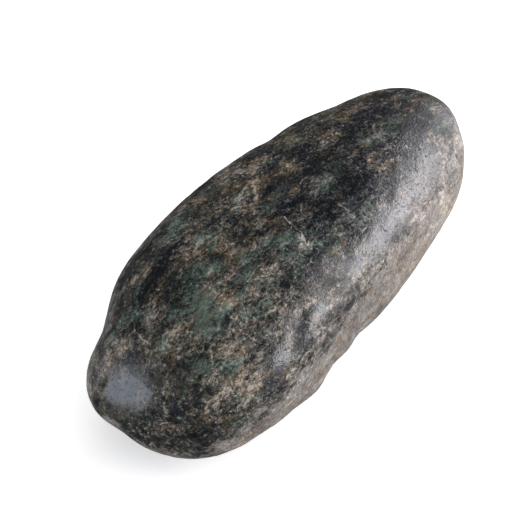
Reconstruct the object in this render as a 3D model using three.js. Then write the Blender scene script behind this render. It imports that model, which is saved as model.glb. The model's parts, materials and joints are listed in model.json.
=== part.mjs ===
// A hammerstone: one long river cobble of dark greenstone, held in the hand to strike with its
// broad end. Its back is worn smooth, its flanks and ends are pecked, and it lies on a worn flat.
// Units are millimetres. +X runs towards the narrow end, +Z is up, -Y is the right flank.
// The origin is at the middle of the stone's box, on the surface that it lies on.

import * as THREE from "three";
import { mergeVertices } from "three/addons/utils/BufferGeometryUtils.js";

// Sizes of the cobble before use has worn it. The girth is its widest section.
const GIRTH_TO_BROAD_END = 53;
const GIRTH_TO_NARROW_END = 97;
const HALF_WIDTH = 31;
const BACK_HEIGHT = 22.5;
const BELLY_DEPTH = 24.5;

// How square an outline is: 2 is an ellipse, and more is squarer.
const BROAD_END_SQUARENESS = 2.25;
const NARROW_END_SQUARENESS = 2.3;
const SECTION_SQUARENESS = 2.3;

// The flat that the stone lies on takes this much off the belly.
const RESTING_FLAT_DEPTH = 2;

// The ball that the stone is shaped from has this many cuts along each edge of its 20 faces.
const BALL_DETAIL = 17;

// Worn flats. Each faces the way that "facing" says, and takes "depth" off the stone there.
// "blend" is the depth over which the flat runs out into the curve around it.
const WORN_FLATS = {
  back: { facing: [0.05, 0.12, 1], depth: 1.6, blend: 2.5 },
  rightFlank: { facing: [0.04, -1, 0.12], depth: 1.2, blend: 2.5 },
  strikingFacet: { facing: [-0.72, 0.08, 0.69], depth: 1.3, blend: 0.8 },
  strikingEnd: { facing: [-1, -0.35, 0.1], depth: 1.1, blend: 3 },
};

// Swells and hollows, placed as on a globe, in degrees. "latitude" is 0 at the girth, -90 at the
// broad end's tip and 90 at the narrow end's. "longitude" is 0 on the right flank, 90 along the
// back and 180 on the left flank. "reach" is how far it runs along the stone and across it, and
// "lift" is below 0 for a hollow.
const SWELLS = {
  leftShoulder: { latitude: 5, longitude: 145, reach: [27, 20], lift: 1.8 },
  leftWaist: { latitude: -38, longitude: 167, reach: [11.5, 14], lift: -2.8 },
  leftCorner: { latitude: -63, longitude: 182, reach: [9, 12], lift: 1.4 },
  narrowLeftSlope: { latitude: 46, longitude: 140, reach: [13, 16], lift: -0.9 },
  leftNick: { latitude: 26, longitude: 148, reach: [4, 6], lift: -0.9 },
  strikingDent: { latitude: -74, longitude: 250, reach: [8, 5], lift: -1 },
  strikingLobe: { latitude: -45, longitude: -50, reach: [12.5, 14], lift: 1.3 },
  rightWaist: { latitude: 3, longitude: -22, reach: [17, 14], lift: -1.1 },
  rightKnob: { latitude: -5, longitude: -22, reach: [5, 10], lift: 1.1 },
  rightNotchNearBroadEnd: { latitude: 0, longitude: -18, reach: [4, 9], lift: -1.3 },
  rightNotchNearMiddle: { latitude: 7, longitude: -18, reach: [5, 11], lift: -1.1 },
  narrowEndLobe: { latitude: 48, longitude: -24, reach: [16, 14], lift: 1.8 },
  narrowEndCorner: { latitude: 68, longitude: 85, reach: [9, 10], lift: 0.7 },
};

// A point of the ball, moved to the cobble's surface.
function onCobble(point) {
  const towardsNarrowEnd = point.x > 0;
  const squareness = towardsNarrowEnd ? NARROW_END_SQUARENESS : BROAD_END_SQUARENESS;
  const reach = towardsNarrowEnd ? GIRTH_TO_NARROW_END : GIRTH_TO_BROAD_END;
  const ring = Math.hypot(point.y, point.z);
  const x = reach * signedPower(point.x, 2 / squareness);
  const fullness = ring ** (2 / squareness);
  const across = signedPower(ring > 0 ? point.y / ring : 0, 2 / SECTION_SQUARENESS);
  const up = signedPower(ring > 0 ? point.z / ring : 0, 2 / SECTION_SQUARENESS);
  const height = up > 0 ? BACK_HEIGHT : BELLY_DEPTH;
  return new THREE.Vector3(x, fullness * across * HALF_WIDTH, fullness * up * height);
}

// The sign of a value, with its size raised to a power.
function signedPower(value, power) {
  return Math.sign(value) * Math.abs(value) ** power;
}

// The point of the cobble's surface at a place on the globe.
function placeOnCobble(latitude, longitude) {
  const rise = THREE.MathUtils.degToRad(latitude);
  const turn = THREE.MathUtils.degToRad(longitude);
  const ring = Math.cos(rise);
  return onCobble(new THREE.Vector3(Math.sin(rise), -ring * Math.cos(turn), ring * Math.sin(turn)));
}

// How much of a swell's lift a point gets, from 1 at its centre to 0 beyond its reach.
function shareOfSwell(point, centre, [reachAlong, reachAcross]) {
  const along = (point.x - centre.x) / reachAlong;
  const across = Math.hypot(point.y - centre.y, point.z - centre.z) / reachAcross;
  return Math.exp(-(along * along + across * across));
}

// Moves each point along its outward normal by the swells that reach it.
function raiseSwells(points, normals) {
  for (const { latitude, longitude, reach, lift } of Object.values(SWELLS)) {
    const centre = placeOnCobble(latitude, longitude);
    points.forEach((point, i) => {
      point.addScaledVector(normals[i], lift * shareOfSwell(point, centre, reach));
    });
  }
}

// How far a point that stands "over" a flat's plane is worn down, easing in from "blend" below it.
function wearDepth(over, blend) {
  if (over <= -blend) return 0;
  if (over >= blend) return over;
  return (over + blend) ** 2 / (4 * blend);
}

// Wears each flat into the points.
function wearFlats(points) {
  for (const { facing, depth, blend } of Object.values(WORN_FLATS)) {
    const outward = new THREE.Vector3(...facing).normalize();
    const level = Math.max(...points.map((point) => point.dot(outward))) - depth;
    for (const point of points) {
      point.addScaledVector(outward, -wearDepth(point.dot(outward) - level, blend));
    }
  }
}

// Cuts the belly level, so that the stone lies still.
function cutRestingFlat(points) {
  const level = Math.min(...points.map((point) => point.z)) + RESTING_FLAT_DEPTH;
  for (const point of points) point.z = Math.max(point.z, level);
}

// The stone as one closed surface, shaped from a ball of even triangles.
function stoneGeometry() {
  const ball = new THREE.IcosahedronGeometry(1, BALL_DETAIL);
  ball.deleteAttribute("normal");
  ball.deleteAttribute("uv");
  const geometry = mergeVertices(ball);
  const position = geometry.getAttribute("position");
  const fromPoints = (points) =>
    points.forEach((point, i) => position.setXYZ(i, point.x, point.y, point.z));
  const points = Array.from({ length: position.count }, (_, i) =>
    onCobble(new THREE.Vector3().fromBufferAttribute(position, i)),
  );
  fromPoints(points);
  geometry.computeVertexNormals();
  const normal = geometry.getAttribute("normal");
  const normals = points.map((_, i) => new THREE.Vector3().fromBufferAttribute(normal, i));
  raiseSwells(points, normals);
  wearFlats(points);
  cutRestingFlat(points);
  fromPoints(points);
  geometry.computeVertexNormals();
  geometry.computeBoundingBox();
  const { min, max } = geometry.boundingBox;
  geometry.translate(-(min.x + max.x) / 2, -(min.y + max.y) / 2, -min.z);
  return geometry;
}

const greenstone = new THREE.MeshStandardMaterial({
  color: 0x474a45,
  roughness: 0.55,
  metalness: 0,
});

const stone = new THREE.Mesh(stoneGeometry(), greenstone);
stone.name = "stone";

const hammerstone = new THREE.Group();
hammerstone.add(stone);

export default hammerstone;
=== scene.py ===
"""Dresses the hammerstone in its worn greenstone skin and sets it in a plain, pale studio."""

from __future__ import annotations

import json
import logging
import math
from dataclasses import dataclass
from enum import Enum

import bmesh
import bpy
import numpy as np
from bpy.types import NodeSocket, NodeTree
from mathutils import Matrix, Vector, noise
from mathutils.bvhtree import BVHTree

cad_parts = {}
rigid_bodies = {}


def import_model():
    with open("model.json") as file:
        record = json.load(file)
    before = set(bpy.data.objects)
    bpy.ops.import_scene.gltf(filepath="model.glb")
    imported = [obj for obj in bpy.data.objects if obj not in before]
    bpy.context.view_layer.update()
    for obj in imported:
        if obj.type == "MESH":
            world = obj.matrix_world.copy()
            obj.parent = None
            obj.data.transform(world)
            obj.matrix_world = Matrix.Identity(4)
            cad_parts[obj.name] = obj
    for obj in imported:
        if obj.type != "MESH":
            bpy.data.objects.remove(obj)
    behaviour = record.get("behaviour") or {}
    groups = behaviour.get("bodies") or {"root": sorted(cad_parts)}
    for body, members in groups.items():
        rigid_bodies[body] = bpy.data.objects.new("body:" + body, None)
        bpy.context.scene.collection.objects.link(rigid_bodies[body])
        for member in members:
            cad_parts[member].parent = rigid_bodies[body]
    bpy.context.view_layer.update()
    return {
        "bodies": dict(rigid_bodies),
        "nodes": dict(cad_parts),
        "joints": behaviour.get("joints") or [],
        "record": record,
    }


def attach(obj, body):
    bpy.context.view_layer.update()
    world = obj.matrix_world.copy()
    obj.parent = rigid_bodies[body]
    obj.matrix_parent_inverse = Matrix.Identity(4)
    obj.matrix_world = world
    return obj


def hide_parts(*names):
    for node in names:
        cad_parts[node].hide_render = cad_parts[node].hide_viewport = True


LOG = logging.getLogger("hammerstone")
MM = 0.001

# Points of a CAD mesh that are nearer than this are one point.
MERGE_MM = 0.001
# A point this near the table stays on the flat that the stone rests on.
RESTING_MM = 0.05
# How fast a patch fades: half its strength is left at its own edge.
PATCH_FALLOFF = 0.7
# A skin that faces the camera less than this doesn't show in the photograph.
FACING = 0.1

# A Noise Texture's mean, the standard deviation of one layer of it, and how many times finer
# each further layer of any noise is than the one before.
NOISE_MEAN = 0.5
NOISE_SPREAD = 0.125
LAYER_STEP = 2.0

# The places of a Mix node's sockets when it mixes colours.
MIX_FACTOR = 0
MIX_UNDER = 6
MIX_OVER = 7
MIX_RESULT = 2


def linear(hex_colour: str) -> tuple[float, float, float, float]:
    """Turns an sRGB hex colour into linear values.

    Args:
        hex_colour: The colour as "#rrggbb".

    Returns:
        Red, green and blue, and an alpha of 1.
    """
    shares = [int(hex_colour[i : i + 2], 16) / 255 for i in (1, 3, 5)]
    red, green, blue = (s / 12.92 if s <= 0.04045 else ((s + 0.055) / 1.055) ** 2.4 for s in shares)
    return red, green, blue, 1.0


def add_node(
    tree: NodeTree,
    kind: str,
    inputs: dict[str | int, object] | None = None,
    output: str | int = 0,
    **settings: object,
) -> NodeSocket | None:
    """Adds a node with its settings and links.

    Args:
        tree: The tree that gets the node.
        kind: The node's type.
        inputs: For each input, by its name or place, a value or a socket to link from.
        output: The name or place of the output that is wanted.
        settings: The node's own settings.

    Returns:
        The output that is wanted, or None for a node that has none.
    """
    node = tree.nodes.new(kind)
    for name, value in settings.items():
        setattr(node, name, value)
    for place, value in (inputs or {}).items():
        if isinstance(value, NodeSocket):
            tree.links.new(value, node.inputs[place])
        else:
            node.inputs[place].default_value = value
    return node.outputs[output] if len(node.outputs) else None


@dataclass(frozen=True)
class PhotoCamera:
    """The camera, which looks down on the stone's back from beyond its broad end."""

    turn_deg: float = 55.15
    elevation_deg: float = 45.0
    distance_mm: float = 600.0
    aim_mm: tuple[float, float, float] = (-5.4, 6.8, 22.0)
    frame_px: int = 512
    sensor_mm: float = 36.0
    lens_mm: float = 152.4

    def forward(self) -> Vector:
        """Gives the direction that the camera looks in.

        Returns:
            The direction, of length 1.
        """
        turn = math.radians(self.turn_deg)
        fall = math.radians(self.elevation_deg)
        level = math.cos(fall)
        return Vector((math.sin(turn) * level, math.cos(turn) * level, -math.sin(fall)))

    def right(self) -> Vector:
        """Gives the direction that lies to the right in the picture."""
        turn = math.radians(self.turn_deg)
        return Vector((math.cos(turn), -math.sin(turn), 0))

    def up(self) -> Vector:
        """Gives the direction that lies upwards in the picture."""
        return self.right().cross(self.forward())

    def eye(self) -> Vector:
        """Gives the camera's place, in metres."""
        return Vector(self.aim_mm) * MM - self.forward() * self.distance_mm * MM

    def towards(self, pixel: tuple[float, float]) -> Vector:
        """Gives the direction from the camera through a pixel of the photograph.

        Args:
            pixel: The pixel, counted right and down from the frame's top left corner.

        Returns:
            The direction, of length 1.
        """
        half = self.frame_px / 2
        slope = self.sensor_mm / self.frame_px / self.lens_mm
        across = self.right() * ((pixel[0] - half) * slope)
        upwards = self.up() * ((half - pixel[1]) * slope)
        return (self.forward() + across + upwards).normalized()

    def pixels(self, points: np.ndarray) -> np.ndarray:
        """Gives the photograph's pixel at which each point shows.

        Args:
            points: Places in millimetres, one a row.

        Returns:
            The pixels, one a row, counted right and down.
        """
        gap = points - np.array(self.eye()) / MM
        depth = gap @ np.array(self.forward())
        scale = self.lens_mm * self.frame_px / self.sensor_mm / depth
        half = self.frame_px / 2
        return np.stack(
            (half + gap @ np.array(self.right()) * scale, half - gap @ np.array(self.up()) * scale),
            axis=1,
        )

    def place(self) -> None:
        """Makes the camera and gives it to the scene."""
        data = bpy.data.cameras.new("photo_camera")
        data.lens = self.lens_mm
        data.sensor_width = self.sensor_mm
        camera = bpy.data.objects.new("photo_camera", data)
        axes = Matrix((self.right(), self.up(), -self.forward())).transposed()
        camera.matrix_world = Matrix.Translation(self.eye()) @ axes.to_4x4()
        bpy.context.scene.collection.objects.link(camera)
        bpy.context.scene.camera = camera


@dataclass(frozen=True)
class Softbox:
    """A lamp behind a sheet of white cloth, which faces the stone."""

    name: str
    comes_from: tuple[float, float, float]
    distance_mm: float
    width_mm: float
    height_mm: float
    watts: float
    colour: str
    # A lamp that only fills the shade shows in no reflection.
    in_reflections: bool = True

    def place(self, target: Vector) -> None:
        """Makes the lamp.

        Args:
            target: The place that it faces, in metres.
        """
        data = bpy.data.lights.new(self.name, "AREA")
        data.shape = "RECTANGLE"
        data.size = self.width_mm * MM
        data.size_y = self.height_mm * MM
        data.energy = self.watts
        data.color = linear(self.colour)[:3]
        lamp = bpy.data.objects.new(self.name, data)
        direction = Vector(self.comes_from).normalized()
        lamp.location = target + direction * self.distance_mm * MM
        lamp.rotation_euler = direction.to_track_quat("Z", "Y").to_euler()
        lamp.visible_glossy = self.in_reflections
        lamp.visible_camera = False
        bpy.context.scene.collection.objects.link(lamp)


@dataclass(frozen=True)
class Studio:
    """A pale light table in a dim room, with soft lamps at the right, at the left and overhead."""

    floor_colour: str = "#f6f6f6"
    floor_glow: float = 0.6
    floor_roughness: float = 0.9
    floor_sheen: float = 0.1
    room_colour: str = "#ffffff"
    room_light: float = 0.08
    floor_half_width_mm: float = 20000.0
    lamps: tuple[Softbox, ...] = (
        Softbox(
            "softbox_right",
            comes_from=(0.81, -0.58, 0.26),
            distance_mm=1600,
            width_mm=2500,
            height_mm=730,
            watts=51.0,
            colour="#fbf8ff",
        ),
        Softbox(
            "softbox_left",
            comes_from=(-0.74, 0.62, 0.22),
            distance_mm=1600,
            width_mm=1200,
            height_mm=700,
            watts=8.8,
            colour="#e4ecff",
        ),
        Softbox(
            "softbox_over",
            comes_from=(0, -0.2, 1.0),
            distance_mm=1200,
            width_mm=1400,
            height_mm=1400,
            watts=11.0,
            colour="#ffffff",
            in_reflections=False,
        ),
    )
    # The lamps face a place this high over the table.
    aim_height_mm: float = 20.0

    def build(self) -> None:
        """Makes the table, the room's light and the lamps."""
        self.lay_floor()
        self.light_room()
        for lamp in self.lamps:
            lamp.place(Vector((0, 0, self.aim_height_mm * MM)))

    def lay_floor(self) -> None:
        """Makes the table top that the stone lies on."""
        shape = bmesh.new()
        bmesh.ops.create_grid(shape, x_segments=1, y_segments=1, size=self.floor_half_width_mm * MM)
        mesh = bpy.data.meshes.new("floor")
        shape.to_mesh(mesh)
        shape.free()
        floor = bpy.data.objects.new("floor", mesh)
        bpy.context.scene.collection.objects.link(floor)
        # The stone was lit in a dim room, so it mirrors no white table.
        floor.visible_glossy = False
        # Opal glass, lit from below: white, without gloss, and pale in the stone's own shade.
        glass = bpy.data.materials.new("frosted_opal_glass")
        glass.use_nodes = True
        surface = glass.node_tree.nodes["Principled BSDF"]
        surface.inputs["Base Color"].default_value = linear(self.floor_colour)
        surface.inputs["Roughness"].default_value = self.floor_roughness
        surface.inputs["Specular IOR Level"].default_value = self.floor_sheen
        surface.inputs["Emission Color"].default_value = linear(self.floor_colour)
        surface.inputs["Emission Strength"].default_value = self.floor_glow
        mesh.materials.append(glass)

    def light_room(self) -> None:
        """Gives the surroundings a faint, even light."""
        room = bpy.data.worlds.new("dim_room")
        room.use_nodes = True
        light = room.node_tree.nodes["Background"]
        light.inputs["Color"].default_value = linear(self.room_colour)
        light.inputs["Strength"].default_value = self.room_light
        bpy.context.scene.world = room
        bpy.context.scene.view_settings.view_transform = "Standard"


class Field(Enum):
    """A field over the stone's skin. Its value names the mesh attribute that holds it.

    GREEN, DARK and TAN bring out the minerals of those colours, and some DARK and TAN patches are
    painted shade and painted light. PECKED and ROUGH take the polish off, and CALM evens out the
    grains.
    """

    GREEN = "green"
    DARK = "dark"
    TAN = "tan"
    PECKED = "pecked"
    ROUGH = "rough"
    CALM = "calm"


@dataclass(frozen=True)
class Patch:
    """A patch where a field is strong, placed by the photograph's pixel at its middle.

    Its length runs along the stone, turned by "turn_deg" towards the left flank. Below 0, its
    strength thins out what the field stands for.
    """

    pixel: tuple[float, float]
    length_mm: float
    width_mm: float
    strength: float = 1.0
    turn_deg: float = 0.0


# In each field, the shifts from one part of the stone to the next come before the small patches.
PATCHES: dict[Field, tuple[Patch, ...]] = {
    Field.GREEN: (
        # Broad shifts.
        Patch((345, 122), 50, 14, -0.4),
        Patch((200, 300), 44, 32, 0.05, 20),
        Patch((405, 215), 60, 14, -0.6),
        Patch((126, 390), 15, 14, -0.8),
        Patch((235, 372), 24, 18, -0.3),
        # Clouds.
        Patch((205, 322), 9, 5, 1.0, 60),
        Patch((205, 297), 6, 4, 0.8, 20),
        Patch((249, 272), 5, 3, 0.7, -10),
        Patch((205, 268), 7, 4, 0.5),
        Patch((208, 194), 9, 4, 0.7, -10),
        Patch((281, 190), 9, 3.5, 0.9),
        Patch((272, 206), 7, 3, 0.7),
        Patch((325, 181), 15, 6, 0.8, -5),
        Patch((372, 140), 15, 6, 0.45, -15),
        Patch((396, 119), 10, 5, 0.6, -20),
        Patch((440, 120), 7, 5, 0.9),
        Patch((363, 193), 5, 3, 0.5),
        Patch((278, 238), 7, 3, 0.8, -30),
        Patch((240, 255), 7, 4, 0.6),
        Patch((276, 257), 5, 3, 0.7),
        Patch((150, 365), 10, 5, 0.5, 10),
        Patch((203, 368), 5, 4, 0.8, 60),
        Patch((233, 373), 5, 4, 0.7, 60),
    ),
    Field.DARK: (
        # Broad shifts.
        Patch((330, 178), 60, 30, 0.4),
        # Partly the rock's dark grains, partly painted shade on the narrow end's top, where the lamps'
        # sheen would pale it.
        Patch((395, 108), 44, 20, 0.75),
        # Painted shade: the back beside the right shoulder's highlight is darkened.
        Patch((345, 200), 22, 12, 0.75),
        Patch((235, 345), 44, 26, -0.75, 20),
        # Painted light: the upper right flank is made paler towards the narrow end, which lies nearest
        # the right lamp.
        Patch((448, 208), 60, 20, -1.0),
        Patch((424, 117), 20, 12, -0.2),
        Patch((338, 322), 24, 8, -0.3),
        Patch((300, 382), 40, 14, 0.25),
        # Painted light: paler skin along the left edge of the back, where it rolls over.
        Patch((205, 200), 50, 20, -0.3),
        # Partly painted shade: the broad end's underside is darkened, partly its own dark brown.
        Patch((165, 432), 30, 34, 0.2),
        Patch((126, 388), 15, 14, 0.2),
        Patch((100, 376), 26, 10, -0.8),
        # Painted highlight: paler skin stands in for a blotch of the right lamp's highlight on the
        # shoulder.
        Patch((366, 266), 14, 8, -1.0),
        # Clots of black grains, and at (299, 334) painted shade in the hollow on the lower shoulder.
        Patch((315, 167), 12, 3.5, 1.0, -5),
        Patch((355, 196), 16, 4),
        Patch((322, 202), 8, 4, 0.8, -30),
        Patch((341, 146), 10, 4, 0.7, -10),
        Patch((268, 152), 8, 3, 0.7),
        Patch((268, 193), 12, 2, 0.8),
        Patch((295, 200), 10, 3.5, 0.9, -10),
        Patch((148, 284), 8, 4, 0.6),
        Patch((175, 250), 9, 4, 0.6),
        Patch((402, 154), 9, 4, 0.9, -35),
        Patch((419, 117), 10, 4, 1.0, -10),
        Patch((413, 132), 13, 4, 1.0, -15),
        Patch((214, 224), 13, 2.5, 0.9),
        Patch((242, 220), 5, 4),
        Patch((264, 230), 15, 3, 0.9, -40),
        Patch((188, 313), 4, 3, 0.8),
        Patch((228, 315), 4, 2.5, 0.8),
        Patch((195, 275), 6, 3, 0.7),
        Patch((136, 300), 8, 5, 0.6, 10),
        Patch((152, 277), 11, 4, 0.7),
        # Painted shade in the hollow on the lower shoulder, which the scars there also carve.
        Patch((299, 334), 9, 4, 1.0, 70),
        Patch((281, 291), 5, 4, 0.8, 20),
        Patch((280, 360), 8, 4, 0.7, 80),
        Patch((270, 392), 4, 3, 0.9, 40),
        Patch((207, 433), 8, 5, 0.9),
        Patch((172, 412), 7, 5, 0.6, 30),
        Patch((334, 284), 8, 5, 0.9),
        Patch((325, 181), 12, 5, 0.4),
        # Clouds that are paler than the skin round them.
        Patch((240, 255), 8, 5, -0.9),
        Patch((208, 194), 10, 4, -0.6, -10),
        Patch((205, 297), 7, 4, -0.5, 20),
        Patch((372, 138), 12, 5, -0.4, -15),
    ),
    Field.TAN: (
        # Broad shifts.
        Patch((165, 425), 26, 34, 0.1),
        # Painted light: the upper right flank is made paler here.
        Patch((440, 222), 44, 14),
        Patch((350, 122), 76, 22, 0.5, -3),
        # Blots.
        Patch((275, 145), 4, 3, 0.9),
        Patch((364, 106), 12, 4, 0.7, -10),
        Patch((411, 147), 16, 6, 0.6, -10),
        Patch((229, 209), 5, 3, 0.8),
        Patch((254, 212), 5, 3, 0.8, 60),
        Patch((192, 246), 5, 3, 0.6),
        Patch((228, 352), 10, 7, 1.0, 50),
        Patch((225, 288), 6, 4, 0.9, 20),
        Patch((274, 268), 7, 3, 0.8),
        Patch((301, 234), 7, 2, 0.6, -40),
        Patch((332, 258), 5, 3, 0.6),
        Patch((242, 257), 7, 4, 0.6),
        Patch((372, 136), 10, 4, 0.4, -15),
        Patch((334, 284), 7, 6, 0.2),
        Patch((313, 318), 7, 5, 0.7),
        Patch((238, 390), 9, 6, 0.8, 40),
    ),
    # The pecking is taken off in the hollow on the lower shoulder, so that the painted shade there (the
    # dark patch at the same pixel) is not paled by the pecked colour.
    Field.PECKED: (Patch((299, 334), 13, 7, -1.0, 70),),
    Field.ROUGH: (
        Patch((456, 148), 18, 22, 0.6),
        Patch((437, 180), 26, 12, 0.35),
        Patch((429, 118), 26, 14, 0.5),
        Patch((334, 283), 12, 10, 0.9),
        Patch((299, 335), 10, 5, 0.7, 70),
    ),
    Field.CALM: (Patch((405, 215), 60, 16, 0.3),),
}


@dataclass(frozen=True)
class Scar:
    """A crease that a blow has left, from one pixel of the photograph to another.

    One that reaches the stone's outline runs on round it by "past_end_mm". A depth below 0 makes
    a lip instead.
    """

    start: tuple[float, float]
    end: tuple[float, float]
    width_mm: float
    depth_mm: float
    past_end_mm: float = 0.0


SCARS = (
    Scar((334, 324), (356, 333.5), 0.9, 1.5, 12),
    Scar((343, 350), (333, 361), 0.9, 1.5, 12),
    Scar((335, 336), (345, 348.5), 3.5, -0.55, 10),
    Scar((296, 400), (287, 410), 1.3, 0.5, 8),
    Scar((311, 318), (304, 346), 2.6, -0.5),
    Scar((302, 312), (291, 352), 2.0, 0.45),
    Scar((277, 152), (268, 144.5), 1.5, 0.35, 8),
    Scar((449, 124), (455, 127), 1.6, 0.5, 8),
    Scar((455, 150), (461, 148), 2.2, -0.45, 8),
)


@dataclass(frozen=True)
class Vein:
    """A thin pale vein or scratch, from one pixel of the photograph to another."""

    start: tuple[float, float]
    end: tuple[float, float]
    width_mm: float
    strength: float = 1.0


VEINS = (
    Vein((272, 207), (303, 235), 0.8),
    Vein((300, 231), (307, 246), 0.8, 0.9),
    Vein((253, 178), (236, 200), 1.2, 0.6),
    Vein((253, 178), (258, 210), 1.2, 0.6),
    Vein((253, 180), (276, 163), 1.0, 0.6),
    Vein((232, 208), (256, 204), 1.0, 0.6),
    Vein((200, 234), (218, 223), 0.7),
    Vein((298, 187), (304, 177), 0.7),
    Vein((335, 203), (350, 212), 0.7, 0.8),
    Vein((398, 141), (425, 160), 0.6, 0.8),
    Vein((210, 341), (213, 373), 0.7, 0.7),
    Vein((158, 425), (174, 421), 0.7, 0.8),
    Vein((243, 287), (262, 262), 0.7, 0.7),
    Vein((133, 330), (150, 345), 0.6, 0.7),
    Vein((262, 316), (283, 305), 0.8, 0.6),
    Vein((243, 332), (262, 345), 0.8, 0.6),
)


# The outline, in the photograph, of the flat facet that striking has left on the broad end.
FACET_OUTLINE = (
    (110, 376),
    (134, 368),
    (157, 373),
    (159, 383),
    (146, 398),
    (133, 417),
    (117, 417),
    (97, 410),
    (101, 392),
)


@dataclass(frozen=True)
class Grain:
    """A pattern of the rock's grains, from a coarse layer down through finer ones.

    "fineness" is how strong each finer layer is beside the one before, "stretch" how much longer
    than wide the grains are, along the stone, and "seed" sets one pattern apart from another.
    """

    size_mm: float
    layers: int
    fineness: float
    stretch: float
    seed: float

    def spread(self) -> float:
        """Gives the noise's standard deviation, which is less the more layers it has."""
        shares = [self.fineness**layer for layer in range(self.layers + 1)]
        return NOISE_SPREAD * math.hypot(*shares) / sum(shares)

    def level(self, tree: NodeTree, place: NodeSocket, strength: float = 1.0) -> NodeSocket:
        """Gives the pattern, with a mean of 0.

        Args:
            tree: The material's tree.
            place: The place on the stone.
            strength: The pattern's standard deviation.

        Returns:
            The pattern.
        """
        drawn_out = add_node(
            tree,
            "ShaderNodeMapping",
            {"Vector": place, "Location": (self.seed, 0, 0), "Scale": (1 / self.stretch, 1, 1)},
        )
        noise_level = add_node(
            tree,
            "ShaderNodeTexNoise",
            {
                "Vector": drawn_out,
                "Scale": 1 / (self.size_mm * MM),
                "Detail": float(self.layers),
                "Roughness": self.fineness,
            },
        )
        gain = strength / self.spread()
        shift = -NOISE_MEAN * gain
        return add_node(
            tree, "ShaderNodeMath", {0: noise_level, 1: gain, 2: shift}, operation="MULTIPLY_ADD"
        )


@dataclass(frozen=True)
class Shades:
    """A mineral mix's colours, from its darkest grains to its palest."""

    darkest: str
    dark: str
    middle: str
    light: str
    palest: str

    def colour(self, tree: NodeTree, tone: NodeSocket) -> NodeSocket:
        """Colours a tone.

        Args:
            tree: The material's tree.
            tone: From 0 at the darkest grains to 1 at the palest.

        Returns:
            The colour.
        """
        stops = (self.darkest, self.dark, self.middle, self.light, self.palest)
        colour = add_node(tree, "ShaderNodeValToRGB", {"Fac": tone})
        ramp = colour.node.color_ramp.elements
        while len(ramp) < len(stops):
            ramp.new(1.0)
        for place, (stop, shade) in enumerate(zip(ramp, stops)):
            stop.position = place / (len(stops) - 1)
            stop.color = linear(shade)
        return colour


@dataclass(frozen=True)
class Mineral:
    """One of the rock's mineral mixes: its colours, and the clouds in which it lies.

    "push" is how far its field raises it and "threshold" is where its edge lies, both in
    standard deviations of the cloud's pattern. "softness" is half the width of that edge.
    """

    shades: Shades
    cloud: Grain
    field: Field
    push: float
    threshold: float
    softness: float

    def mask(self, tree: NodeTree, place: NodeSocket, fields: dict[Field, NodeSocket]) -> NodeSocket:
        """Gives the mask of the mineral's clouds.

        Args:
            tree: The material's tree.
            place: The place on the stone.
            fields: The stone's fields.

        Returns:
            The mask, from 0 to 1.
        """
        level = self.cloud.level(tree, place)
        level = add_node(
            tree,
            "ShaderNodeMath",
            {0: fields[self.field], 1: self.push, 2: level},
            operation="MULTIPLY_ADD",
        )
        return add_node(
            tree,
            "ShaderNodeMapRange",
            {
                "Value": level,
                "From Min": self.threshold - self.softness,
                "From Max": self.threshold + self.softness,
            },
            interpolation_type="SMOOTHSTEP",
        )


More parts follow.
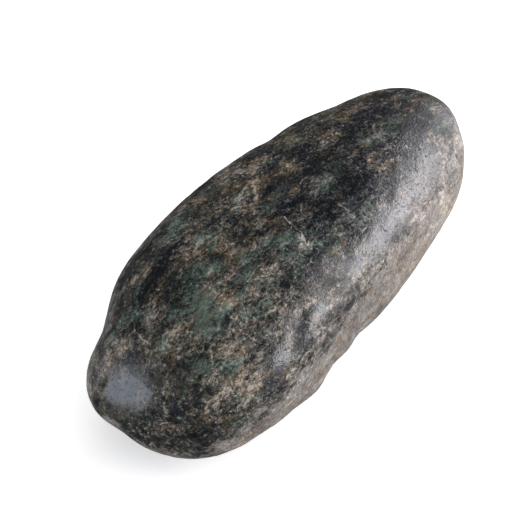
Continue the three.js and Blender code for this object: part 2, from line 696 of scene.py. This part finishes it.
@dataclass(frozen=True)
class WornGreenstone:
    """Greenstone, a dark metamorphic rock of black, green and tan grains, rolled in a river.

    Its polished skin is glossy and shows felted tan fibres over black and green clouds. Where it
    was pecked, the grains are crushed, so the skin there is matt, paler and pitted.
    """

    groundmass: Shades = Shades("#060709", "#161819", "#2f312c", "#565147", "#9a9084")
    buff: Mineral = Mineral(
        Shades("#0d0b09", "#29231b", "#4b4134", "#766856", "#aa9b88"),
        Grain(6, layers=4, fineness=0.8, stretch=1.6, seed=0.4),
        Field.TAN,
        push=1.8,
        threshold=0.9,
        softness=0.7,
    )
    hornblende: Mineral = Mineral(
        Shades("#040508", "#0a0d13", "#171b22", "#403c38", "#8c8375"),
        Grain(7, layers=5, fineness=0.85, stretch=2.0, seed=0.7),
        Field.DARK,
        push=1.6,
        threshold=0.7,
        softness=0.35,
    )
    epidote: Mineral = Mineral(
        Shades("#0b0d0f", "#1a2221", "#3e4a43", "#5b695e", "#8e9389"),
        Grain(8, layers=4, fineness=0.8, stretch=1.8, seed=0.3),
        Field.GREEN,
        push=2.6,
        threshold=1.2,
        softness=1.1,
    )
    pecked: Mineral = Mineral(
        Shades("#35322e", "#54504a", "#6f6a64", "#8a857d", "#b6b0a6"),
        Grain(7, layers=5, fineness=0.9, stretch=1.6, seed=0.5),
        Field.PECKED,
        push=4.5,
        threshold=2.0,
        softness=1.1,
    )
    # Earth has stained about half of the pecked skin brown.
    stain: Mineral = Mineral(
        Shades("#2b2621", "#4c4339", "#6a5f52", "#8a7d6d", "#b8ad9c"),
        Grain(4, layers=5, fineness=0.85, stretch=1.8, seed=0.9),
        Field.PECKED,
        push=3.0,
        threshold=3.1,
        softness=0.7,
    )
    # The rock's grains run from blots of this size down to ones that hardly show.
    rock: Grain = Grain(7, layers=5, fineness=0.97, stretch=1.8, seed=0.1)
    fibres: Grain = Grain(1.6, layers=3, fineness=0.8, stretch=1.8, seed=0.2)
    # Grit and specks this fine hardly show, so they are drawn a little coarser than they are.
    grit: Grain = Grain(0.8, layers=1, fineness=0.8, stretch=1.2, seed=0.6)
    specks: Grain = Grain(1.1, layers=1, fineness=0.6, stretch=1.2, seed=0.8)
    # Pits in the polish, where it stays dull.
    pits: Grain = Grain(0.9, layers=1, fineness=0.8, stretch=1.2, seed=0.35)
    # Tones run from 0 at the darkest to 1 at the palest. This is their middle, and the contrasts
    # are the standard deviations of rock and grit round it.
    middle_tone: float = 0.5
    rock_contrast: float = 0.15
    grit_contrast: float = 0.08
    # How far a fibre stands out of the tones round it, and how wide it is in deviations.
    fibre_lift: float = 0.12
    fibre_gap: float = -0.05
    fibre_width: float = 0.6
    # A speck shows where its noise is over the first level, and in full at the second.
    speck_levels: tuple[float, float] = (1.9, 3.0)
    speck_lift: float = 0.35
    pit_levels: tuple[float, float] = (0.9, 1.8)
    # A vein raises the tone by this in its core, which is this share of its half width.
    vein_lift: float = 0.6
    vein_core: float = 0.3
    # What the fields of dark and of tan skin do to the tone. Some of their patches are painted shade
    # and painted light.
    dark_shift: float = -0.18
    tan_shift: float = 0.12
    # How strongly the grains show where the skin is even, and how even pecking makes it.
    even_contrast: float = 0.45
    pecked_evenness: float = 0.6
    # The polish is this rough, and pecked skin that rough.
    polished_roughness: float = 0.25
    pecked_roughness: float = 0.75
    # Pale grains are softer than dark ones, so they polish less: from the first tone to the second.
    soft_tones: tuple[float, float] = (0.4, 0.9)
    soft_wear: float = 0.5
    # How much of that wear is left where the skin is even.
    even_wear: float = 0.3
    # The grains' relief in full, and the shares of it on the polish and where that is worn.
    relief_mm: float = 0.35
    polished_relief: float = 0.15
    worn_relief: float = 0.5
    # How the patterns are bent, so that none runs straight.
    swirl_size_mm: float = 2.5
    swirl_shift_mm: float = 1.5
    swirl_layers: float = 2.0
    # Amphibole and epidote, the rock's main minerals, bend light this strongly.
    refraction: float = 1.65

    def build(self, veins: list[tuple[Matrix, float]]) -> bpy.types.Material:
        """Makes the material.

        Args:
            veins: For each vein, its place, directions and half sizes, and its strength.

        Returns:
            The material, whose patterns read the piece's object coordinates and attributes.
        """
        material = bpy.data.materials.new("greenstone_polished_and_pecked")
        material.use_nodes = True
        tree = material.node_tree
        tree.nodes.clear()
        place = self.swirled_place(tree)
        fields = {
            field: add_node(tree, "ShaderNodeAttribute", output="Fac", attribute_name=field.value)
            for field in Field
        }
        grains = self.grains(tree, place)
        calm = self.calm(tree, fields)
        tone = self.tone(tree, place, fields, grains, calm)
        for frame, strength in veins:
            tone = self.add_vein(tree, place, tone, frame, strength)
        colour = self.groundmass.colour(tree, tone)
        masks = {}
        for mineral in (self.buff, self.hornblende, self.epidote, self.pecked, self.stain):
            mask = masks[mineral] = mineral.mask(tree, place, fields)
            colour = add_node(
                tree,
                "ShaderNodeMix",
                {MIX_FACTOR: mask, MIX_UNDER: colour, MIX_OVER: mineral.shades.colour(tree, tone)},
                output=MIX_RESULT,
                data_type="RGBA",
            )
        worn = self.wear(tree, place, fields, tone)
        matt = add_node(
            tree, "ShaderNodeMath", {0: masks[self.pecked], 1: fields[Field.ROUGH]}, operation="MAXIMUM"
        )
        matt = add_node(tree, "ShaderNodeMath", {0: matt, 1: worn}, operation="MAXIMUM")
        roughness = add_node(
            tree,
            "ShaderNodeMapRange",
            {"Value": matt, "To Min": self.polished_roughness, "To Max": self.pecked_roughness},
        )
        relief = add_node(tree, "ShaderNodeMath", {0: matt, 1: self.worn_relief}, operation="MULTIPLY")
        relief = add_node(
            tree, "ShaderNodeMath", {0: relief, 1: masks[self.pecked]}, operation="MAXIMUM"
        )
        relief = add_node(
            tree,
            "ShaderNodeMapRange",
            {"Value": relief, "To Min": self.polished_relief, "To Max": 1.0},
        )
        relief = add_node(tree, "ShaderNodeMath", {0: relief, 1: calm}, operation="MULTIPLY")
        normal = add_node(
            tree,
            "ShaderNodeBump",
            {"Height": grains, "Strength": relief, "Distance": self.relief_mm * MM},
        )
        surface = add_node(
            tree,
            "ShaderNodeBsdfPrincipled",
            {"Base Color": colour, "Roughness": roughness, "IOR": self.refraction, "Normal": normal},
        )
        add_node(tree, "ShaderNodeOutputMaterial", {"Surface": surface})
        return material

    def wear(
        self,
        tree: NodeTree,
        place: NodeSocket,
        fields: dict[Field, NodeSocket],
        tone: NodeSocket,
    ) -> NodeSocket:
        """Gives how far the polish is worn off the pale grains and the pits.

        Args:
            tree: The material's tree.
            place: The place on the stone.
            fields: The stone's fields.
            tone: How pale the skin is.

        Returns:
            The wear, from 0 to 1.
        """
        soft = add_node(
            tree,
            "ShaderNodeMapRange",
            {
                "Value": tone,
                "From Min": self.soft_tones[0],
                "From Max": self.soft_tones[1],
                "To Max": self.soft_wear,
            },
        )
        pitted = add_node(
            tree,
            "ShaderNodeMapRange",
            {
                "Value": self.pits.level(tree, place),
                "From Min": self.pit_levels[0],
                "From Max": self.pit_levels[1],
            },
        )
        worn = add_node(tree, "ShaderNodeMath", {0: soft, 1: pitted}, operation="MAXIMUM")
        kept = add_node(
            tree,
            "ShaderNodeMapRange",
            {"Value": fields[Field.CALM], "To Min": 1.0, "To Max": self.even_wear},
        )
        return add_node(tree, "ShaderNodeMath", {0: worn, 1: kept}, operation="MULTIPLY")

    def swirled_place(self, tree: NodeTree) -> NodeSocket:
        """Bends the object coordinates by a slow noise, so that no pattern runs straight.

        Args:
            tree: The material's tree.

        Returns:
            The bent coordinates.
        """
        place = add_node(tree, "ShaderNodeTexCoord", output="Object")
        swirl = add_node(
            tree,
            "ShaderNodeTexNoise",
            {"Vector": place, "Scale": 1 / (self.swirl_size_mm * MM), "Detail": self.swirl_layers},
            output="Color",
        )
        centred = add_node(
            tree, "ShaderNodeVectorMath", {0: swirl, 1: (NOISE_MEAN,) * 3}, operation="SUBTRACT"
        )
        shift = add_node(
            tree,
            "ShaderNodeVectorMath",
            {0: centred, "Scale": self.swirl_shift_mm * MM},
            operation="SCALE",
        )
        return add_node(tree, "ShaderNodeVectorMath", {0: place, 1: shift}, operation="ADD")

    def grains(self, tree: NodeTree, place: NodeSocket) -> NodeSocket:
        """Gives the pattern of the grains, which is also the fine relief of the skin.

        Args:
            tree: The material's tree.
            place: The place on the stone.

        Returns:
            The pattern, with a mean of 0.
        """
        rock = self.rock.level(tree, place, self.rock_contrast)
        grit = self.grit.level(tree, place, self.grit_contrast)
        return add_node(tree, "ShaderNodeMath", {0: rock, 1: grit}, operation="ADD")

    def tone(
        self,
        tree: NodeTree,
        place: NodeSocket,
        fields: dict[Field, NodeSocket],
        grains: NodeSocket,
        calm: NodeSocket,
    ) -> NodeSocket:
        """Gives how pale the skin is, from 0 to 1.

        Args:
            tree: The material's tree.
            place: The place on the stone.
            fields: The stone's fields.
            grains: The pattern of the grains.
            calm: How strongly the grains show.

        Returns:
            The tone.
        """
        # A fibre lies wherever its noise passes through the middle.
        fibre = self.fibres.level(tree, place)
        fibre = add_node(tree, "ShaderNodeMath", {0: fibre}, operation="ABSOLUTE")
        fibre = add_node(
            tree,
            "ShaderNodeMapRange",
            {
                "Value": fibre,
                "From Max": self.fibre_width,
                "To Min": self.fibre_lift,
                "To Max": self.fibre_gap,
            },
            interpolation_type="SMOOTHSTEP",
        )
        speck = self.specks.level(tree, place)
        speck = add_node(
            tree,
            "ShaderNodeMapRange",
            {
                "Value": speck,
                "From Min": self.speck_levels[0],
                "From Max": self.speck_levels[1],
                "To Max": self.speck_lift,
            },
        )
        tone = add_node(tree, "ShaderNodeMath", {0: grains, 1: fibre}, operation="ADD")
        tone = add_node(tree, "ShaderNodeMath", {0: tone, 1: speck}, operation="ADD")
        for field, shift in ((Field.DARK, self.dark_shift), (Field.TAN, self.tan_shift)):
            tone = add_node(
                tree, "ShaderNodeMath", {0: fields[field], 1: shift, 2: tone}, operation="MULTIPLY_ADD"
            )
        return add_node(
            tree, "ShaderNodeMath", {0: tone, 1: calm, 2: self.middle_tone}, operation="MULTIPLY_ADD"
        )

    def calm(self, tree: NodeTree, fields: dict[Field, NodeSocket]) -> NodeSocket:
        """Gives how strongly the grains show.

        They show less on the smooth facet, in the green clouds and where pecking has crushed them.

        Args:
            tree: The material's tree.
            fields: The stone's fields.

        Returns:
            The share, which is 1 on the plain skin.
        """
        crushed = add_node(
            tree,
            "ShaderNodeMath",
            {0: fields[Field.PECKED], 1: self.pecked_evenness},
            operation="MULTIPLY",
        )
        even = add_node(
            tree, "ShaderNodeMath", {0: fields[Field.GREEN], 1: fields[Field.CALM]}, operation="MAXIMUM"
        )
        even = add_node(tree, "ShaderNodeMath", {0: even, 1: crushed}, operation="MAXIMUM")
        return add_node(
            tree, "ShaderNodeMapRange", {"Value": even, "To Min": 1.0, "To Max": self.even_contrast}
        )

    def add_vein(
        self,
        tree: NodeTree,
        place: NodeSocket,
        tone: NodeSocket,
        frame: Matrix,
        strength: float,
    ) -> NodeSocket:
        """Draws one vein, which is a long flat lens in the rock.

        Args:
            tree: The material's tree.
            place: The place on the stone.
            tone: The tone without the vein.
            frame: The lens's place, directions and half sizes.
            strength: How far the vein raises the tone, at most 1.

        Returns:
            The tone with the vein.
        """
        centre, turn, half_sizes = frame.decompose()
        within = add_node(
            tree,
            "ShaderNodeMapping",
            {"Vector": place, "Location": centre, "Rotation": turn.to_euler(), "Scale": half_sizes},
            vector_type="TEXTURE",
        )
        reach = add_node(tree, "ShaderNodeVectorMath", {0: within}, output="Value", operation="LENGTH")
        lift = add_node(
            tree,
            "ShaderNodeMapRange",
            {
                "Value": reach,
                "From Min": self.vein_core,
                "From Max": 1.0,
                "To Min": self.vein_lift * strength,
                "To Max": 0.0,
            },
        )
        return add_node(tree, "ShaderNodeMath", {0: tone, 1: lift}, operation="ADD")


@dataclass(frozen=True)
class Cobble:
    """The stone itself: the CAD form with its fine relief and the fields that its finish reads."""

    camera: PhotoCamera
    name: str = "hammerstone_cobble"
    subdivisions: int = 2
    # The skin's slow waves, with how many layers they have and how fast those fade, and its dents.
    wave_mm: float = 14.0
    wave_height_mm: float = 0.18
    wave_layers: int = 3
    wave_fade: float = 1.0
    dent_mm: float = 4.0
    dent_height_mm: float = 0.07
    # The same for the pecking on the flanks and ends.
    peck_mm: float = 2.2
    peck_depth_mm: float = 0.2
    peck_layers: int = 2
    peck_fade: float = 0.8
    # Where the pecked flank ends on the right, as the angle round the stone from that flank, at
    # places along it in millimetres. 90 degrees is the middle of the back.
    right_edge: tuple[tuple[float, float], ...] = (
        (-76, -60),
        (-66, -20),
        (-50, 6),
        (-20, 16),
        (10, 20),
        (40, 18),
        (60, 24),
        (72, 40),
        (78, 60),
    )
    # The same on the left flank.
    left_edge: tuple[tuple[float, float], ...] = (
        (-76, 200),
        (-72, 160),
        (-66, 139),
        (-57, 147),
        (-44, 152),
        (0, 156),
        (70, 165),
    )
    # How strongly the left flank is pecked beside the right one.
    left_share: float = 0.8
    # Where both bands end under the belly, right and left.
    belly_edges_deg: tuple[float, float] = (-62.0, 242.0)
    edge_blend_deg: float = 32.0
    middle_height_mm: float = 22.0
    vein_depth_mm: float = 4.0
    # The broad end is bruised from this place on, in millimetres along the stone.
    bruised_from_mm: float = -58.0
    bruise_blend_mm: float = 14.0
    bruise: float = 0.45
    # How near the facet is to its plane, and how even its skin is, as shares.
    facet_flatness: float = 0.6
    facet_calm: float = 0.8
    # How far its smooth skin reaches past its outline, wanders and fades, and how its cut fades.
    facet_past_px: float = 3.0
    facet_ragged_px: float = 5.0
    facet_ragged_mm: float = 1.5
    facet_soft_px: float = 9.0
    facet_fade_px: float = 16.0
    # Its plane goes through its rim, where the cut's share lies between these.
    facet_rim: tuple[float, float] = (0.3, 0.7)

    def build(self, node: bpy.types.Object, finish: WornGreenstone) -> bpy.types.Object:
        """Makes the stone from its CAD node.

        Args:
            node: The CAD node that the stone stands for.
            finish: The finish of the stone's skin.

        Returns:
            The finished piece.
        """
        mesh = self.fine_mesh(node)
        points, normals = self.read(mesh)
        skin = self.search_tree(mesh)
        facet = self.facet_field(
            points, normals, self.facet_past_px, self.facet_ragged_px, self.facet_soft_px
        )
        pecked = self.pecked_field(points) + self.patch_field(points, skin, Field.PECKED)
        pecked = np.clip(pecked, 0, 1) * (1 - facet)
        rough = np.maximum(self.rough_field(points), self.patch_field(points, skin, Field.ROUGH))
        rough = np.maximum(pecked, rough) * (1 - facet)
        calm = np.maximum(facet * self.facet_calm, self.patch_field(points, skin, Field.CALM))
        fields = {Field.PECKED: pecked, Field.ROUGH: rough, Field.CALM: calm}
        for field in (Field.GREEN, Field.DARK, Field.TAN):
            fields[field] = self.patch_field(points, skin, field)
        for field, values in fields.items():
            attribute = mesh.attributes.new(field.value, "FLOAT", "POINT")
            attribute.data.foreach_set("value", values.astype(np.float32))
        heights = self.relief(points, rough) * (1 - facet) - self.scar_depths(points, skin)
        heights -= self.facet_cut(points, normals)
        moved = points + normals * heights[:, None]
        resting = points[:, 2] < RESTING_MM
        moved[resting] = points[resting]
        # No point passes the CAD node's own box.
        cad_points = np.array([vertex.co for vertex in node.data.vertices]) / MM
        moved = np.clip(moved, cad_points.min(axis=0), cad_points.max(axis=0))
        mesh.vertices.foreach_set("co", (moved * MM).astype(np.float32).ravel())
        mesh.materials.append(finish.build([self.vein_frame(skin, vein) for vein in VEINS]))
        mesh.shade_smooth()
        mesh.update()
        piece = bpy.data.objects.new(self.name, mesh)
        bpy.context.scene.collection.objects.link(piece)
        return piece

    def fine_mesh(self, node: bpy.types.Object) -> bpy.types.Mesh:
        """Copies the CAD node's mesh, merges its loose triangles and rounds it finely.

        Args:
            node: The CAD node.

        Returns:
            A mesh with points about 0.6 mm apart.
        """
        shape = bmesh.new()
        shape.from_mesh(node.data)
        bmesh.ops.remove_doubles(shape, verts=shape.verts, dist=MERGE_MM * MM)
        coarse = bpy.data.meshes.new("coarse_stone")
        shape.to_mesh(coarse)
        shape.free()
        carrier = bpy.data.objects.new("coarse_stone", coarse)
        bpy.context.scene.collection.objects.link(carrier)
        rounding = carrier.modifiers.new("rounding", "SUBSURF")
        rounding.levels = self.subdivisions
        rounding.render_levels = self.subdivisions
        graph = bpy.context.evaluated_depsgraph_get()
        fine = bpy.data.meshes.new_from_object(carrier.evaluated_get(graph))
        bpy.data.objects.remove(carrier)
        fine.name = self.name
        return fine

    def read(self, mesh: bpy.types.Mesh) -> tuple[np.ndarray, np.ndarray]:
        """Reads a mesh's points.

        Args:
            mesh: The mesh.

        Returns:
            The points in millimetres, and their outward directions.
        """
        points = np.zeros(len(mesh.vertices) * 3, np.float32)
        normals = np.zeros(len(mesh.vertices) * 3, np.float32)
        mesh.vertices.foreach_get("co", points)
        mesh.vertices.foreach_get("normal", normals)
        return points.reshape(-1, 3).astype(float) / MM, normals.reshape(-1, 3).astype(float)

    def search_tree(self, mesh: bpy.types.Mesh) -> BVHTree:
        """Makes the tree that finds where a ray meets the stone.

        Args:
            mesh: The stone's mesh.

        Returns:
            The tree.
        """
        shape = bmesh.new()
        shape.from_mesh(mesh)
        tree = BVHTree.FromBMesh(shape)
        shape.free()
        return tree

    def spot(self, skin: BVHTree, pixel: tuple[float, float]) -> tuple[Vector, Vector]:
        """Finds the place on the stone that a pixel of the photograph shows.

        Args:
            skin: The stone's search tree.
            pixel: The photograph's pixel.

        Returns:
            The place in millimetres, and the outward direction there.
        """
        place, outward, _, _ = skin.ray_cast(self.camera.eye(), self.camera.towards(pixel))
        if place is None:
            raise ValueError(f"the pixel {pixel} doesn't show the stone")
        return place / MM, outward

    def patch_field(self, points: np.ndarray, skin: BVHTree, field: Field) -> np.ndarray:
        """Gives how strong one field's patches are at each point, from -1 to 1.

        Args:
            points: The stone's points.
            skin: The stone's search tree.
            field: The field.

        Returns:
            The field's strength at each point.
        """
        total = np.zeros(len(points))
        for patch in PATCHES[field]:
            centre, outward = self.spot(skin, patch.pixel)
            along = (Vector((1, 0, 0)) - outward * outward.x).normalized()
            across = outward.cross(along)
            turn = math.radians(patch.turn_deg)
            length = along * math.cos(turn) + across * math.sin(turn)
            width = outward.cross(length)
            gap = points - np.array(centre)
            reach = (
                (gap @ np.array(length) / patch.length_mm * 2) ** 2
                + (gap @ np.array(width) / patch.width_mm * 2) ** 2
                + (gap @ np.array(outward) / patch.length_mm * 2) ** 2
            )
            total += patch.strength * np.exp(-PATCH_FALLOFF * reach)
        return np.clip(total, -1, 1)

    def vein_frame(self, skin: BVHTree, vein: Vein) -> tuple[Matrix, float]:
        """Gives the flat lens that a vein fills.

        Args:
            skin: The stone's search tree.
            vein: The vein.

        Returns:
            The lens's place, directions and half sizes in metres, and the vein's strength.
        """
        (start, outward), (end, _) = (self.spot(skin, pixel) for pixel in (vein.start, vein.end))
        line = end - start
        across = outward.cross(line).normalized()
        axes = Matrix((line.normalized(), across, line.cross(across).normalized())).transposed()
        half_sizes = Vector((line.length / 2, vein.width_mm / 2, self.vein_depth_mm)) * MM
        return Matrix.LocRotScale((start + end) / 2 * MM, axes, half_sizes), vein.strength

    def facet_field(
        self, points: np.ndarray, normals: np.ndarray, past_px: float, ragged_px: float, soft_px: float
    ) -> np.ndarray:
        """Gives 1 at the points of the striking facet and 0 beyond it.

        Args:
            points: The stone's points.
            normals: Their outward directions.
            past_px: How far past its outline the facet reaches.
            ragged_px: How far its edge wanders.
            soft_px: The width over which it fades.

        Returns:
            The field.
        """
        pixels = self.camera.pixels(points)
        corners = np.array(FACET_OUTLINE, float)
        inside = np.full(len(points), np.inf)
        for start, end in zip(corners, np.roll(corners, -1, axis=0)):
            line = (end - start) / np.linalg.norm(end - start)
            gap = pixels - start
            inside = np.minimum(inside, line[0] * gap[:, 1] - line[1] * gap[:, 0])
        seen = normals @ np.array(self.camera.forward()) < -FACING
        for i in np.flatnonzero(seen & (inside > -past_px - 2 * ragged_px)):
            place = Vector(points[i]) / self.facet_ragged_mm
            wander = noise.fractal(place, self.peck_fade, LAYER_STEP, self.peck_layers)
            inside[i] += ragged_px * wander
        return np.clip((inside + past_px) / soft_px + 0.5, 0, 1) * seen

    def facet_cut(self, points: np.ndarray, normals: np.ndarray) -> np.ndarray:
        """Gives how deep the facet is cut at each point, down towards the plane through its rim.

        Args:
            points: The stone's points.
            normals: Their outward directions.

        Returns:
            The depths, in millimetres.
        """
        share = self.facet_field(points, normals, 0.0, 0.0, self.facet_fade_px)
        rim = (share > self.facet_rim[0]) & (share < self.facet_rim[1])
        centre = points[rim].mean(axis=0)
        outward = np.linalg.svd(points[rim] - centre)[2][2]
        outward *= np.sign(outward @ normals[rim].mean(axis=0))
        over = np.maximum((points - centre) @ outward, 0)
        # The cut is at its full where its share is over a half.
        depths = over * np.minimum(share * 2, 1) * self.facet_flatness
        LOG.info("the facet faces %s and is cut %.2f mm deep", outward.round(3), depths.max())
        return depths

    def scar_depths(self, points: np.ndarray, skin: BVHTree) -> np.ndarray:
        """Gives how deep the scars are at each point.

        Args:
            points: The stone's points.
            skin: The stone's search tree.

        Returns:
            The depths, in millimetres.
        """
        total = np.zeros(len(points))
        for scar in SCARS:
            start, end = (np.array(self.spot(skin, pixel)[0]) for pixel in (scar.start, scar.end))
            past_end = end + np.array(self.camera.forward()) * scar.past_end_mm
            gap = self.gap_to_line(points, start, end)
            if scar.past_end_mm:
                gap = np.minimum(gap, self.gap_to_line(points, end, past_end))
            total += scar.depth_mm * np.exp(-gap / scar.width_mm)
        return total

    def gap_to_line(self, points: np.ndarray, start: np.ndarray, end: np.ndarray) -> np.ndarray:
        """Gives each point's distance from the straight line between two places.

        Args:
            points: The stone's points.
            start: One end of the line.
            end: Its other end.

        Returns:
            The distances, in millimetres.
        """
        line = end - start
        share = np.clip((points - start) @ line / (line @ line), 0, 1)
        return np.linalg.norm(points - start - share[:, None] * line, axis=1)

    def pecked_field(self, points: np.ndarray) -> np.ndarray:
        """Gives how pecked each point is, from 0 on the polished back to 1 on the flanks.

        Args:
            points: The stone's points.

        Returns:
            The field.
        """
        angle = np.degrees(np.arctan2(points[:, 2] - self.middle_height_mm, -points[:, 1]))
        angle = np.where(angle < -90, angle + 360, angle)
        right = np.interp(points[:, 0], *zip(*self.right_edge))
        left = np.interp(points[:, 0], *zip(*self.left_edge))
        on_right = self.ramp(right - angle) * self.ramp(angle - self.belly_edges_deg[0])
        on_left = self.ramp(angle - left) * self.ramp(self.belly_edges_deg[1] - angle)
        return np.maximum(on_right, on_left * self.left_share)

    def ramp(self, angle: np.ndarray) -> np.ndarray:
        """Gives 0 well below an angle of 0 degrees and 1 well above it."""
        return np.clip(angle / self.edge_blend_deg + 0.5, 0, 1)

    def rough_field(self, points: np.ndarray) -> np.ndarray:
        """Gives how rough striking has left each point of the broad end."""
        return np.clip((self.bruised_from_mm - points[:, 0]) / self.bruise_blend_mm, 0, self.bruise)

    def relief(self, points: np.ndarray, rough: np.ndarray) -> np.ndarray:
        """Gives how far each point stands out of the smooth form.

        Args:
            points: The stone's points.
            rough: How rough each of them is.

        Returns:
            The heights, in millimetres.
        """
        heights = np.zeros(len(points))
        for i, (point, share) in enumerate(zip(points, rough)):
            place = Vector(point)
            wave = noise.fractal(place / self.wave_mm, self.wave_fade, LAYER_STEP, self.wave_layers)
            peck = noise.fractal(place / self.peck_mm, self.peck_fade, LAYER_STEP, self.peck_layers)
            dent = noise.noise(place / self.dent_mm)
            heights[i] = wave * self.wave_height_mm + dent * self.dent_height_mm
            heights[i] -= share * self.peck_depth_mm * max(0.0, peck)
        return heights


def main() -> None:
    """Builds the stone and the studio, in order."""
    logging.basicConfig(level=logging.INFO, format="%(name)s: %(message)s")
    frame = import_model()
    camera = PhotoCamera()
    camera.place()
    Studio().build()
    stone = Cobble(camera).build(frame["nodes"]["stone"], WornGreenstone())
    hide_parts("stone")
    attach(stone, "root")
    LOG.info("%s has %d faces", stone.name, len(stone.data.polygons))


if __name__ == "__main__":
    main()
